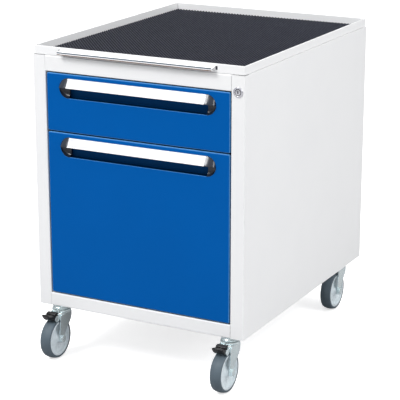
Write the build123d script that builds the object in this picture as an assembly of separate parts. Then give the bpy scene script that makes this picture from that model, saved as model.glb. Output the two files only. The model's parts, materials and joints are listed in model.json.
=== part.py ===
from build123d import *
import math
import os

# Mobile drawer cabinet on four swivel castors: a folded sheet-steel carcass, two drawers on
# telescopic runners, a rimmed top tray with a ribbed mat, a central lock and foot brakes.
# All lengths are millimetres. +Z is up and the drawers open towards -Y. Shapes are drawn with
# y = 0 at the front plane of the carcass and moved at export, so that the origin lies on the
# floor below the middle of the whole object.

# ---- carcass ----
BODY_W = 550.0
BODY_D = 700.0
BODY_BOTTOM = 130.0
CARCASS_TOP = 743.0
RIM_TOP = 764.0
SHEET = 1.5
BEND = 1.9
POST_W = 34.0
POST_D = 22.0
POST_LIP = 7.0
SIDE_FLANGE = 21.0
TOP_RAIL_H = 37.0
BOTTOM_RAIL_H = 32.5
RAIL_RETURN = 18.0
FIT_GAP = 0.2

# ---- top tray, grip lip and mat ----
TRAY_INSET = 2.5
RIM_T = 2.4
TRAY_SEAM = 1.0
TRAY_FLOOR = 1.7
MAT_T = 3.0
MAT_GAP = 0.5
LIP_W = 400.0
LIP_ROOT_Z = 757.4
LIP_EDGE_Z = 754.4
LIP_REACH = 17.0
LIP_HEM = 4.0
NOTCH_W = 6.0
NOTCH_LOW_Z = 749.5

# ---- drawers ----
FRONT_GAP = 2.5
FRONT_T = 20.0
FRONT_LIP = 35.0
FRONT_EDGE_R = 4.0
UPPER_FRONT_H = 138.0
BOX_HALF = 218.0
BOX_D = 620.0
BOX_HEM = 8.0
UPPER_BOX = (572.0, 100.0)
LOWER_BOX = (172.0, 300.0)

# ---- handles ----
SLOT_W = 407.0
SLOT_H = 47.0
SLOT_DROP = 10.0
POCKET_D = 17.0
GRIP_OUT = 12.0
GRIP_DROP = 21.0
GRIP_T = 2.5
LABEL_T = 0.8
LABEL_INSET = 2.6
LABEL_END_GAP = 3.0
CAP_NOSE = 1.5
CAP_D = 12.0

# ---- telescopic runners ----
RUNNER_L = 600.0
RUNNER_T = 1.2
RUNNER_PACK = 13.0
UPPER_RUNNER_Z = 600.0
LOWER_RUNNER_Z = 205.0
BRACKET_Y0 = 80.0
BRACKET_Y1 = 660.0

# ---- castors ----
WHEEL_R = 50.0
SHOULDER_R = 45.5
RIM_R = 43.0
WHEEL_HALF = 14.0
HUB_HALF = 15.5
AXLE_R = 5.0
RUN_FIT = 0.06
CASTOR_INSET_X = 45.5
TRAIL = 30.0
FRONT_AXLE_Y = -5.0
REAR_AXLE_Y = 624.0
HEAD_R = 22.0
CROWN_R = 23.0
FORK_TOP = 117.0
CROWN_T = 3.5
FORK_T = 2.5
FORK_HALF = 19.5
KINGPIN_R = 6.0
PLATE_X = (10.0, 45.0)
PLATE_Y = (14.0, 38.0)
PLATE_T = 4.0
PIVOT_Y = -27.0
PIVOT_Z = 107.0
PIVOT_R = 3.0
ROCKER_HALF = 12.0
PEDAL_HALF = 14.0

# ---- central lock ----
LOCK_X = 258.0
LOCK_Z = 706.0
PLUG_R = 6.6
BARREL_R = 9.0
CAM_PIN_R = 2.0
CAM_ARM = 10.0
BAR_X0 = 252.0
BAR_X1 = 264.0
BAR_Y0 = 27.0
BAR_T = 3.0
STUD_Y = 60.0
STUD_R = 4.0
UPPER_STUD_Z = 650.0
LOWER_STUD_Z = 440.0

HALF_W = BODY_W / 2
POST_X = HALF_W - POST_W
OPENING_TOP = CARCASS_TOP - TOP_RAIL_H
OPENING_BOTTOM = BODY_BOTTOM + BOTTOM_RAIL_H
FRONT_HALF = POST_X - FRONT_GAP
UPPER_FRONT_Z = OPENING_TOP - FRONT_GAP - UPPER_FRONT_H
LOWER_FRONT_Z = OPENING_BOTTOM + FRONT_GAP
LOWER_FRONT_H = UPPER_FRONT_Z - FRONT_GAP - LOWER_FRONT_Z
CASTOR_X = HALF_W - CASTOR_INSET_X
SWIVEL_Y = {"front": FRONT_AXLE_Y + TRAIL, "rear": REAR_AXLE_Y + TRAIL}
FRONT_REACH = WHEEL_R - FRONT_AXLE_Y
ORIGIN_Y = (BODY_D - FRONT_REACH) / 2


# ---- helpers ----

def block(x0, x1, y0, y1, z0, z1):
    """A box between two corners."""
    centre = Pos((x0 + x1) / 2, (y0 + y1) / 2, (z0 + z1) / 2)
    return centre * Box(x1 - x0, y1 - y0, z1 - z0)


def folded(plane, points, start, end, thickness=SHEET, radius=BEND):
    """A folded sheet: its centre line runs through the points and it spans start to end."""
    section = trace(FilletPolyline(*points, radius=radius), thickness)
    return plane * Pos(0, 0, start) * extrude(section, end - start)


def prism_x(points, x0, x1):
    """A closed outline of (y, z) points carried from x0 to x1."""
    outline = make_face(Polyline(*points, close=True))
    return Plane.YZ * Pos(0, 0, x0) * extrude(outline, x1 - x0)


def rod_x(x0, x1, y, z, radius):
    """A round bar along X."""
    return Pos(x0, y, z) * Rot(0, 90, 0) * extrude(Circle(radius), x1 - x0)


def rod_y(y0, y1, x, z, radius):
    """A round bar along Y."""
    return Pos(x, y0, z) * Rot(-90, 0, 0) * extrude(Circle(radius), y1 - y0)


def rod_z(z0, z1, x, y, radius):
    """A round bar along Z."""
    return Pos(x, y, z0) * extrude(Circle(radius), z1 - z0)


def hexagon(across_flats, height):
    """A hexagonal bolt head or nut standing on z = 0, with its corners eased."""
    radius = across_flats / math.sqrt(3)
    bar = extrude(RegularPolygon(radius, 6), height)
    eased = chamfer(extrude(Circle(radius), height).edges().filter_by(GeomType.CIRCLE), height / 6)
    return bar & eased


def both_sides(shape):
    """A right-hand piece and its mirror image on the left."""
    return [shape, mirror(shape, Plane.YZ)]


def save(name, *solids):
    """Move the piece into the object's own frame and write its STEP file."""
    placed = [Pos(0, -ORIGIN_Y, 0) * solid for solid in solids]
    shape = placed[0] if len(placed) == 1 else Compound(children=placed)
    export_step(shape, f"parts/{name}.step")


# ---- carcass ----

def side_panel():
    """Right side wall, folded round into the front post and the rear return."""
    half = SHEET / 2
    outline = [
        (POST_X + POST_LIP, POST_D - half),
        (POST_X + half, POST_D - half),
        (POST_X + half, half),
        (HALF_W - half, half),
        (HALF_W - half, BODY_D - half),
        (HALF_W - SIDE_FLANGE, BODY_D - half),
    ]
    wall = folded(Plane.XY, outline, BODY_BOTTOM, CARCASS_TOP)
    inner = HALF_W - SIDE_FLANGE
    rear = BODY_D - SHEET
    for z in (BODY_BOTTOM, CARCASS_TOP - SHEET):
        wall += block(inner, HALF_W - half, POST_D + SHEET, rear - SHEET, z, z + SHEET)
    return wall


def lockable(panel):
    """The side panel with the hole for the lock barrel in its post."""
    return panel - rod_y(-1, SHEET + 1, LOCK_X, LOCK_Z, BARREL_R + 0.1)


def back_panel():
    half_w = HALF_W - SHEET - FIT_GAP - SHEET / 2
    rear = BODY_D - SHEET * 1.5
    outline = [(-half_w, rear - 12), (-half_w, rear), (half_w, rear), (half_w, rear - 12)]
    low = BODY_BOTTOM + SHEET + FIT_GAP
    high = CARCASS_TOP - SHEET - FIT_GAP
    return folded(Plane.XY, outline, low, high)


def swivel_points():
    """(side, end, x, y) of the four castors' swivel axes."""
    return [
        (side, end, sign * CASTOR_X, SWIVEL_Y[end])
        for end in ("front", "rear")
        for side, sign in (("left", -1), ("right", 1))
    ]


def deck(level, flange_end):
    """A floor or roof sheet between the side walls, its side flanges turned to flange_end."""
    half_w = HALF_W - SHEET - FIT_GAP - SHEET / 2
    mid = level + SHEET / 2
    outline = [(-half_w, flange_end), (-half_w, mid), (half_w, mid), (half_w, flange_end)]
    sheet = folded(Plane.XZ, outline, -(BODY_D - 16), -10)
    for sign in (-1, 1):
        inner = POST_X - FIT_GAP
        edges = sorted((sign * inner, sign * HALF_W))
        sheet -= block(edges[0], edges[1], 0, POST_D + FIT_GAP, level - 50, level + 50)
    return sheet


def bottom_panel():
    sheet = deck(BODY_BOTTOM + SHEET, BODY_BOTTOM + 20)
    for _, _, x, y in swivel_points():
        sheet -= rod_z(BODY_BOTTOM, BODY_BOTTOM + 10, x, y, KINGPIN_R + 0.5)
    return sheet


def roof_panel():
    sheet = deck(CARCASS_TOP - 2 * SHEET, CARCASS_TOP - 20)
    return sheet - block(-POST_X, POST_X, 0, POST_D + 1, CARCASS_TOP - 5, CARCASS_TOP)


def bottom_rail():
    half = SHEET / 2
    outline = [
        (9, BODY_BOTTOM + half),
        (half, BODY_BOTTOM + half),
        (half, OPENING_BOTTOM - half),
        (RAIL_RETURN, OPENING_BOTTOM - half),
    ]
    return folded(Plane.YZ, outline, -POST_X, POST_X)


def top_rail():
    half = SHEET / 2
    outline = [
        (RAIL_RETURN + 4, CARCASS_TOP - half),
        (half, CARCASS_TOP - half),
        (half, OPENING_TOP + half),
        (RAIL_RETURN, OPENING_TOP + half),
        (RAIL_RETURN, OPENING_TOP + 10),
    ]
    return folded(Plane.YZ, outline, -POST_X, POST_X)


# ---- top tray ----

def top_tray():
    """Rimmed tray that caps the carcass, with a pull-grip lip formed in its front skirt."""
    half = HALF_W - TRAY_INSET
    front = TRAY_INSET
    rear = BODY_D - TRAY_INSET
    floor = CARCASS_TOP + TRAY_FLOOR
    skirt_z = CARCASS_TOP + TRAY_SEAM
    outer = block(-half, half, front, rear, skirt_z, RIM_TOP)
    outer = fillet(outer.edges().filter_by(Axis.Z), 3)
    well = block(-half + RIM_T, half - RIM_T, front + RIM_T, rear - RIM_T, floor, RIM_TOP + 1)
    well = fillet(well.edges().filter_by(Axis.Z), 0.8)
    tray = outer - well
    tray = fillet(tray.edges().group_by(Axis.Z)[-1], RIM_T * 0.45)
    tray += block(-half + 4.5, half - 4.5, front + 4.5, rear - 4.5, CARCASS_TOP, floor)
    for x in (-LIP_W / 2 - NOTCH_W, LIP_W / 2):
        notch = block(x, x + NOTCH_W, front - 1, front + RIM_T + 0.2, NOTCH_LOW_Z, LIP_ROOT_Z + 1)
        tray -= fillet(notch.edges().filter_by(Axis.Y), 1)
    lip_line = [
        (front + 1, LIP_ROOT_Z + 0.3),
        (front - 2, LIP_ROOT_Z - 0.4),
        (front - LIP_REACH + 0.7, LIP_EDGE_Z),
        (front - LIP_REACH + 0.7, LIP_EDGE_Z - LIP_HEM),
        (front - LIP_REACH + 5, LIP_EDGE_Z - LIP_HEM),
    ]
    lip = folded(Plane.YZ, lip_line, -LIP_W / 2, LIP_W / 2, radius=1.2)
    return tray + lip


def ribbed_mat():
    half = HALF_W - TRAY_INSET - RIM_T - MAT_GAP
    front = TRAY_INSET + RIM_T + MAT_GAP
    low = CARCASS_TOP + TRAY_FLOOR
    mat = block(-half, half, front, BODY_D - front, low, low + MAT_T)
    return fillet(mat.edges().filter_by(Axis.Z), 3)


# ---- drawers ----

def slot_prism(mid_z, grow, y0, y1):
    """The handle opening's round-ended outline, grown all round, carried from y0 to y1."""
    face = Plane.XZ * SlotOverall(SLOT_W + 2 * grow, SLOT_H + 2 * grow)
    return Pos(0, y1, mid_z) * extrude(face, y1 - y0)


def slot_mid(front_z, front_h):
    return front_z + front_h - SLOT_DROP - SLOT_H / 2


def drawer_front(z0, height, box_size):
    """Pan-shaped front with rounded edges and a round-ended finger pocket near its top."""
    z1 = z0 + height
    mid_z = slot_mid(z0, height)
    pan = block(-FRONT_HALF, FRONT_HALF, 0, FRONT_T, z0, z1)
    pan = fillet(pan.edges().filter_by(Axis.Y), FRONT_EDGE_R + 0.2)
    pan = fillet(pan.edges().group_by(Axis.Y)[0], FRONT_EDGE_R)
    inner = FRONT_HALF - SHEET
    cavity = block(-inner, inner, SHEET, FRONT_T - SHEET, z0 + SHEET, z1 - SHEET)
    cavity = fillet(cavity.edges().filter_by(Axis.Y), FRONT_EDGE_R + 0.2 - SHEET)
    pan -= fillet(cavity.edges().group_by(Axis.Y)[0], FRONT_EDGE_R - SHEET)
    open_half = FRONT_HALF - FRONT_LIP
    pan -= block(-open_half, open_half, FRONT_T - SHEET - 1, FRONT_T + 1, z0 + 12, z1 - 12)
    pan += slot_prism(mid_z, SHEET, SHEET / 2, POCKET_D + SHEET)
    pan -= slot_prism(mid_z, 0, -1, POCKET_D)
    mouth = pan.edges().filter_by(lambda e: on_mouth(e, mid_z))
    pan = fillet(mouth, 1.2)
    for x, y, z in screw_points(box_size):
        pan -= rod_y(y - 4, y + 1, x, z, 1.7)
    return pan


def on_mouth(edge, mid_z):
    """True for the edges of the handle opening that lie in the front plane."""
    box = edge.bounding_box()
    flat = abs(box.min.Y) < 0.01 and abs(box.max.Y) < 0.01
    near = abs(edge.center().Z - mid_z) < SLOT_H / 2 + 0.1
    return flat and near and max(abs(box.min.X), abs(box.max.X)) < SLOT_W / 2 + 0.1


def screw_points(box_size):
    """Where the box is screwed to the rear lips of its front."""
    low, height = box_size
    x = BOX_HALF - 7
    levels = (low + 15, low + height - 22)
    return [(sign * x, FRONT_T, z) for sign in (-1, 1) for z in levels]


def drawer_box(box_size):
    """Open-topped sheet-steel box with hemmed upper edges."""
    low, height = box_size
    high = low + height
    y1 = FRONT_T + BOX_D
    box = block(-BOX_HALF, BOX_HALF, FRONT_T, y1, low, high)
    box = fillet(box.edges().filter_by(Axis.Z), 2)
    inner = BOX_HALF - SHEET
    box -= block(-inner, inner, FRONT_T + SHEET, y1 - SHEET, low + SHEET, high - SHEET)
    mouth = BOX_HALF - BOX_HEM
    box -= block(-mouth, mouth, FRONT_T + BOX_HEM, y1 - BOX_HEM, high - 2 * SHEET, high + 1)
    for x, y, z in screw_points(box_size):
        box -= rod_y(y - 1, y + SHEET + 1, x, z, 2.1)
    return box


def front_screws(box_size):
    """Pan-head screws through the box wall into the front's rear lips."""
    screws = []
    for x, y, z in screw_points(box_size):
        inside = y + SHEET
        head = rod_y(inside, inside + 2.4, x, z, 3.8)
        head = fillet(head.edges().group_by(Axis.Y)[-1], 1)
        screws.append(head + rod_y(y - 6, inside, x, z, 1.65))
    return screws


def grip_section(mid_z):
    """Centre line of the handle's sloping grip, from its clip in the pocket to its lower bead."""
    top = mid_z + SLOT_H / 2
    low = top - GRIP_DROP
    return [
        (9, top - 1.6),
        (0.5, top - 1.6),
        (1.2 - GRIP_OUT, low + 1),
        (6.5 - GRIP_OUT, low + 1),
    ]


def grip_half():
    return (SLOT_W - SLOT_H) / 2


def handle_grip(mid_z):
    half = grip_half()
    return folded(Plane.YZ, grip_section(mid_z), -half, half, GRIP_T, 1.3)


def grip_slope(mid_z):
    """Upper and lower ends of the grip's outer face, as (y, z)."""
    upper = grip_section(mid_z)[1]
    lower = grip_section(mid_z)[2]
    run = math.hypot(upper[0] - lower[0], upper[1] - lower[1])
    along = ((lower[0] - upper[0]) / run, (lower[1] - upper[1]) / run)
    outward = (along[1], -along[0])
    return upper, lower, along, outward


def label_strip(mid_z):
    """Flat label lying on the grip's sloping outer face."""
    upper, lower, along, outward = grip_slope(mid_z)
    under = GRIP_T / 2
    outline = []
    for point, shift, rises in (
        (upper, LABEL_INSET, (under, under + LABEL_T)),
        (lower, -LABEL_INSET, (under + LABEL_T, under)),
    ):
        for rise in rises:
            y = point[0] + along[0] * shift + outward[0] * rise
            z = point[1] + along[1] * shift + outward[1] * rise
            outline.append((y, z))
    half = grip_half() - LABEL_END_GAP
    return prism_x(outline, -half, half)


def end_cap(mid_z):
    """Right-hand end cap: a half-round plug in the pocket under a rounded wedge nose."""
    start = grip_half()
    radius = SLOT_H / 2
    top = mid_z + radius
    low = mid_z - radius
    nose = GRIP_OUT + CAP_NOSE
    wedge_line = [(CAP_D, low), (CAP_D, top), (0, top), (-nose, top - GRIP_DROP), (0, low)]
    wedge = prism_x(wedge_line, start, start + radius + 1)
    cap = wedge & slot_prism(mid_z, -0.05, -nose - 1, CAP_D)
    ridge = cap.edges().filter_by(Axis.X).group_by(Axis.Y)[0]
    return fillet(ridge, 4)


def latch_stud(level):
    """Round stud on the right wall of a drawer box that the locking bar's hook catches."""
    stud = rod_x(BOX_HALF, BOX_HALF + 2, STUD_Y, level, 7)
    return stud + rod_x(BOX_HALF, BOX_HALF + 16, STUD_Y, level, STUD_R)


# ---- telescopic runners ----

def channel(web_x, lip_x, half_height, level, y0, y1):
    """A C-shaped runner member with its web at web_x and its lips reaching to lip_x."""
    sign = 1 if lip_x > web_x else -1
    web = sorted((web_x, web_x + sign * RUNNER_T))
    lip = sorted((web_x, lip_x))
    member = block(web[0], web[1], y0, y1, level - half_height, level + half_height)
    for edge in (-half_height, half_height - RUNNER_T):
        member += block(lip[0], lip[1], y0, y1, level + edge, level + edge + RUNNER_T)
    return member


def cabinet_runner(level):
    outer = BOX_HALF + RUNNER_PACK
    return channel(outer, BOX_HALF + 2.2, 22.5, level, 24, 24 + RUNNER_L)


def middle_runner(level):
    web = BOX_HALF + RUNNER_PACK - RUNNER_T - 1
    return channel(web, BOX_HALF + 2.0, 19.8, level, 26, RUNNER_L + 6)


def drawer_runner(level):
    return channel(BOX_HALF, BOX_HALF + 8.6, 17.1, level, 22, 22 + RUNNER_L)


def runner_bracket(level):
    """Channel that carries a cabinet runner off the side wall."""
    near = BOX_HALF + RUNNER_PACK
    far = HALF_W - SHEET
    bracket = block(near, near + SHEET, BRACKET_Y0, BRACKET_Y1, level - 24, level + 24)
    for edge in (-24, 24 - SHEET):
        bracket += block(near, far, BRACKET_Y0, BRACKET_Y1, level + edge, level + edge + SHEET)
    return bracket


# ---- castors ----

def castor_head(x, y):
    """Fixed upper part of the swivel: a locating boss, a disc and a tapered race cup."""
    outline = [
        (KINGPIN_R + 0.05, BODY_BOTTOM + SHEET),
        (11, BODY_BOTTOM + SHEET),
        (11, BODY_BOTTOM),
        (HEAD_R - 0.8, BODY_BOTTOM),
        (HEAD_R, BODY_BOTTOM - 0.8),
        (HEAD_R, BODY_BOTTOM - 2.7),
        (HEAD_R - 0.8, BODY_BOTTOM - 3.5),
        (HEAD_R - 2, BODY_BOTTOM - 3.8),
        (HEAD_R - 1.2, BODY_BOTTOM - 8.2),
        (HEAD_R - 2, BODY_BOTTOM - 9),
        (KINGPIN_R + 0.05, BODY_BOTTOM - 9),
    ]
    section = Plane.XZ * make_face(Polyline(*outline, close=True))
    return Pos(x, y, 0) * revolve(section, Axis.Z)


def swivel_bearing(x, y):
    """Thrust ring between the fixed head and the fork's crown."""
    top = BODY_BOTTOM - 9
    low = FORK_TOP + 0.3
    ring = rod_z(low, top, x, y, HEAD_R - 4) - rod_z(low - 1, top + 1, x, y, KINGPIN_R + 2)
    return fillet(ring.edges().group_by(Axis.Z)[0], 0.8)


def kingpin_bolt(x, y):
    """Bolt up through the fork and head into the mounting plate."""
    seat = FORK_TOP - CROWN_T - 3 - 0.3
    bolt = Pos(x, y, seat - 5.5) * hexagon(18, 5.5)
    return bolt + rod_z(seat, BODY_BOTTOM + 19, x, y, KINGPIN_R)


def kingpin_nut(x, y):
    seat = BODY_BOTTOM + 2 * SHEET + PLATE_T
    nut = Pos(x, y, seat) * hexagon(19, 9)
    return nut - rod_z(seat - 1, seat + 10, x, y, KINGPIN_R + 0.05)


def mounting_plate(end, x, y):
    """Reinforcing plate that spreads the castor's load over the carcass floor."""
    low = BODY_BOTTOM + 2 * SHEET
    sign = 1 if x > 0 else -1
    inward = 1 if end == "front" else -1
    across = sorted((x + sign * PLATE_X[0], x - sign * PLATE_X[1]))
    along = sorted((y - inward * PLATE_Y[0], y + inward * PLATE_Y[1]))
    plate = block(across[0], across[1], along[0], along[1], low, low + PLATE_T)
    return plate - rod_z(low - 1, low + PLATE_T + 1, x, y, KINGPIN_R + 0.2)


def leg_outline():
    """Side view of a fork leg: a broad shoulder that narrows to an eye round the axle."""
    eye = 9.5
    top = FORK_TOP - CROWN_T
    axle = (-TRAIL, WHEEL_R)
    edge = Polyline(
        (axle[0] - eye, axle[1] + 2),
        (-35, 88),
        (-34, top),
        (13, top),
        (15, top - 5),
        (10, 92),
        (axle[0] + eye, axle[1] + 3),
    )
    eye_arc = ThreePointArc(edge @ 1, (axle[0], axle[1] - eye), edge @ 0)
    return make_face(edge + eye_arc)


def fork(braked):
    """Pressed fork with its crown, drawn with the swivel axis at x = y = 0."""
    top = FORK_TOP - CROWN_T
    arch = block(-FORK_HALF, FORK_HALF, -50, 40, 0, top)
    arch = fillet(arch.edges().filter_by(Axis.Y).group_by(Axis.Z)[-1], 4)
    hollow = FORK_HALF - FORK_T
    arch -= block(-hollow, hollow, -60, 50, -1, top - 3)
    arch -= block(-hollow, hollow, -60, -20, -1, top + 1)
    outline = Plane.YZ * Pos(0, 0, -FORK_HALF - 1) * extrude(leg_outline(), 2 * FORK_HALF + 2)
    body = arch & outline
    crown = rod_z(top - 0.5, FORK_TOP, 0, 0, CROWN_R)
    crown = fillet(crown.edges().group_by(Axis.Z)[-1], 1.5)
    body += crown
    body -= rod_z(top - 10, FORK_TOP + 1, 0, 0, KINGPIN_R + RUN_FIT)
    body -= rod_x(-FORK_HALF - 1, FORK_HALF + 1, -TRAIL, WHEEL_R, AXLE_R + 0.1)
    if braked:
        body -= rod_x(-FORK_HALF - 1, FORK_HALF + 1, PIVOT_Y, PIVOT_Z, PIVOT_R + RUN_FIT)
    return body


def axle_bolt():
    """Axle bolt through both legs, its head on the right."""
    head = Pos(FORK_HALF, 0, 0) * Rot(0, 90, 0) * hexagon(16, 5)
    bolt = head + rod_x(-FORK_HALF - 7, FORK_HALF, 0, 0, AXLE_R)
    return Pos(0, -TRAIL, WHEEL_R) * bolt


def axle_nut():
    nut = Pos(-FORK_HALF - 5, 0, 0) * Rot(0, 90, 0) * hexagon(16, 5)
    nut -= rod_x(-FORK_HALF - 6, -FORK_HALF + 1, 0, 0, AXLE_R + 0.05)
    return Pos(0, -TRAIL, WHEEL_R) * nut


def half_profile(points):
    """A section given for x >= 0 as (x, radius), mirrored to the other side and closed."""
    return points + [(-x, r) for x, r in reversed(points)]


def wheel_rim():
    """Moulded rim: a hub, a dished web and a raised outer ring."""
    bore = AXLE_R + RUN_FIT
    outline = half_profile([
        (HUB_HALF, bore),
        (HUB_HALF, 10),
        (HUB_HALF - 1, 11),
        (7, 12.5),
        (4.5, 16),
        (4, 33),
        (6, 36),
        (WHEEL_HALF - 1.6, 38.6),
        (WHEEL_HALF - 0.8, 39.6),
        (WHEEL_HALF - 0.8, RIM_R),
    ])
    section = Plane.XZ * make_face(Polyline(*outline, close=True))
    return Pos(0, -TRAIL, WHEEL_R) * revolve(section, Axis.X)


def wheel_tyre():
    """Tyre with square shoulders and a crowned tread."""
    side = Polyline(
        (-WHEEL_HALF, SHOULDER_R),
        (-WHEEL_HALF, RIM_R),
        (WHEEL_HALF, RIM_R),
        (WHEEL_HALF, SHOULDER_R),
    )
    tread = ThreePointArc(side @ 1, (0, WHEEL_R), side @ 0)
    section = Plane.XZ * make_face(side + tread)
    return Pos(0, -TRAIL, WHEEL_R) * revolve(section, Axis.X)


def brake_rocker():
    """Metal rocker that turns on the fork and carries the shoe over the tread."""
    arm = prism_x([
        (PIVOT_Y, PIVOT_Z + 4.3),
        (-46, 112),
        (-50, 108),
        (-46, 102),
        (-44, 98.6),
        (-40, 99.6),
        (-36, 100.2),
        (-33, 102.5),
        (PIVOT_Y, PIVOT_Z - 4.3),
    ], -ROCKER_HALF, ROCKER_HALF)
    eye = rod_x(-ROCKER_HALF, ROCKER_HALF, PIVOT_Y, PIVOT_Z, 4.4)
    return arm + eye + rod_x(-FORK_HALF, FORK_HALF, PIVOT_Y, PIVOT_Z, PIVOT_R)


def brake_pedal():
    """Moulded pedal with a raised heel block and a V-shaped toe pad."""
    pad = prism_x([
        (-35.5, 109),
        (-35.5, 117),
        (-37, 118.5),
        (-48.5, 117.5),
        (-50.5, 113.5),
        (-58, 114.5),
        (-66, 117),
        (-67, 115),
        (-57, 103),
        (-50, 100.8),
        (-45.5, 105),
    ], -PEDAL_HALF, PEDAL_HALF)
    pad = fillet(pad.edges().filter_by(Plane.YZ).group_by(Axis.X)[0], 1)
    pad = fillet(pad.edges().filter_by(Plane.YZ).group_by(Axis.X)[-1], 1)
    return pad - brake_rocker()


# ---- lock ----

def lock_housing():
    """Lock barrel with its bevelled bezel."""
    bezel = rod_y(-2.5, 0, LOCK_X, LOCK_Z, 12)
    bezel = chamfer(bezel.edges().group_by(Axis.Y)[0], 1.2)
    shell = bezel + rod_y(0, POST_D, LOCK_X, LOCK_Z, BARREL_R)
    return shell - rod_y(-3, POST_D + 1, LOCK_X, LOCK_Z, PLUG_R + 0.05)


def lock_nut():
    nut = Pos(LOCK_X, SHEET, LOCK_Z) * Rot(-90, 0, 0) * hexagon(24, 4)
    return nut - rod_y(0, 10, LOCK_X, LOCK_Z, BARREL_R + 0.05)


def lock_plug():
    """Turning plug with a keyway and a stub for the cam."""
    plug = rod_y(-2, POST_D + 0.4, LOCK_X, LOCK_Z, PLUG_R)
    plug += rod_y(POST_D + 0.4, POST_D + 4, LOCK_X, LOCK_Z, 4)
    return plug - block(LOCK_X - 0.7, LOCK_X + 0.7, -3, 14, LOCK_Z - 4, LOCK_Z + 3)


def lock_cam():
    """Cam plate whose pin lifts the locking bar."""
    y0 = POST_D + 0.4
    cam = block(LOCK_X - 5.5, LOCK_X + 5.5, y0, y0 + 2, LOCK_Z - CAM_ARM - 3.5, LOCK_Z + 6.5)
    cam = fillet(cam.edges().filter_by(Axis.Y), 3)
    cam -= rod_y(y0 - 1, y0 + 3, LOCK_X, LOCK_Z, 4.05)
    return cam + rod_y(y0 + 1, BAR_Y0 + BAR_T + 1, LOCK_X, LOCK_Z - CAM_ARM, CAM_PIN_R)


def locking_bar():
    """Vertical bar with a slotted head for the cam pin and a hook for each drawer."""
    y1 = BAR_Y0 + BAR_T
    head_z = LOCK_Z - 2 * CAM_ARM
    pin_z = LOCK_Z - CAM_ARM
    bar = block(BAR_X0, BAR_X1, BAR_Y0, y1, 200, head_z)
    bar += block(LOCK_X - CAM_ARM - 4.5, BAR_X1, BAR_Y0, y1, head_z, head_z + 16)
    slot = (LOCK_X - CAM_ARM - 2.5, LOCK_X + 2.5)
    bar -= block(slot[0], slot[1], BAR_Y0 - 1, y1 + 1, pin_z - 4.6, pin_z + 2.4)
    for stud_z in (UPPER_STUD_Z, LOWER_STUD_Z):
        low = stud_z - 20
        high = stud_z - STUD_R - 2
        hook_y = STUD_Y - STUD_R - 3
        bar += block(BAR_X0, BAR_X0 + BAR_T, BAR_Y0, hook_y, low, high)
        bar += block(BOX_HALF + 6, BAR_X0 + BAR_T, hook_y - BAR_T, hook_y, low, high)
    return bar


def bar_guide(level):
    """Clip on the side wall that keeps the locking bar upright."""
    far = HALF_W - SHEET
    y1 = BAR_Y0 + BAR_T
    clip = block(BAR_X0 - 3, far, BAR_Y0 - 1.9, BAR_Y0 - 0.4, level, level + 14)
    clip += block(BAR_X0 - 3, far, y1 + 0.4, y1 + 1.9, level, level + 14)
    return clip + block(BAR_X1 + 1, far, BAR_Y0 - 1.9, y1 + 1.9, level, level + 14)


# ---- assembly ----

def save_carcass():
    panel = side_panel()
    save("side_panel_left", mirror(panel, Plane.YZ))
    save("side_panel_right", lockable(panel))
    save("back_panel", back_panel())
    save("bottom_panel", bottom_panel())
    save("roof_panel", roof_panel())
    save("top_rail", top_rail())
    save("bottom_rail", bottom_rail())
    save("top_tray", top_tray())
    save("ribbed_mat", ribbed_mat())


def save_runners():
    levels = {"upper": UPPER_RUNNER_Z, "lower": LOWER_RUNNER_Z}
    brackets = []
    cabinet = []
    for name, level in levels.items():
        brackets += both_sides(runner_bracket(level))
        cabinet += both_sides(cabinet_runner(level))
        save(f"{name}_middle_runners", *both_sides(middle_runner(level)))
        save(f"{name}_drawer_runners", *both_sides(drawer_runner(level)))
    save("runner_brackets", *brackets)
    save("cabinet_runners", *cabinet)


def save_drawers():
    drawers = {
        "upper": (UPPER_FRONT_Z, UPPER_FRONT_H, UPPER_BOX, UPPER_STUD_Z),
        "lower": (LOWER_FRONT_Z, LOWER_FRONT_H, LOWER_BOX, LOWER_STUD_Z),
    }
    for name, (z0, height, box_size, stud_z) in drawers.items():
        mid_z = slot_mid(z0, height)
        save(f"{name}_drawer_front", drawer_front(z0, height, box_size))
        save(f"{name}_drawer_box", drawer_box(box_size))
        save(f"{name}_front_screws", *front_screws(box_size))
        save(f"{name}_handle_grip", handle_grip(mid_z))
        save(f"{name}_label_strip", label_strip(mid_z))
        save(f"{name}_handle_caps", *both_sides(end_cap(mid_z)))
        save(f"{name}_latch_stud", latch_stud(stud_z))


def save_lock():
    save("lock_housing", lock_housing())
    save("lock_nut", lock_nut())
    save("lock_plug", lock_plug())
    save("lock_cam", lock_cam())
    save("locking_bar", locking_bar())
    save("locking_bar_guides", *[bar_guide(level) for level in (290, 530)])


def save_castors():
    points = [(x, y) for _, _, x, y in swivel_points()]
    plates = [mounting_plate(end, x, y) for _, end, x, y in swivel_points()]
    save("castor_mounting_plates", *plates)
    save("castor_heads", *[castor_head(x, y) for x, y in points])
    save("castor_swivel_bearings", *[swivel_bearing(x, y) for x, y in points])
    save("castor_bolts", *[kingpin_bolt(x, y) for x, y in points])
    save("castor_nuts", *[kingpin_nut(x, y) for x, y in points])
    for side, end, x, y in swivel_points():
        place = Pos(x, y, 0)
        tag = f"{end}_{side}"
        save(f"fork_{tag}", place * fork(end == "front"))
        save(f"axle_{tag}", place * axle_bolt(), place * axle_nut())
        save(f"rim_{tag}", place * wheel_rim())
        save(f"tyre_{tag}", place * wheel_tyre())
        if end == "front":
            save(f"brake_rocker_{tag}", place * brake_rocker())
            save(f"brake_pedal_{tag}", place * brake_pedal())


os.makedirs("parts", exist_ok=True)
save_carcass()
save_runners()
save_drawers()
save_lock()
save_castors()
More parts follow.
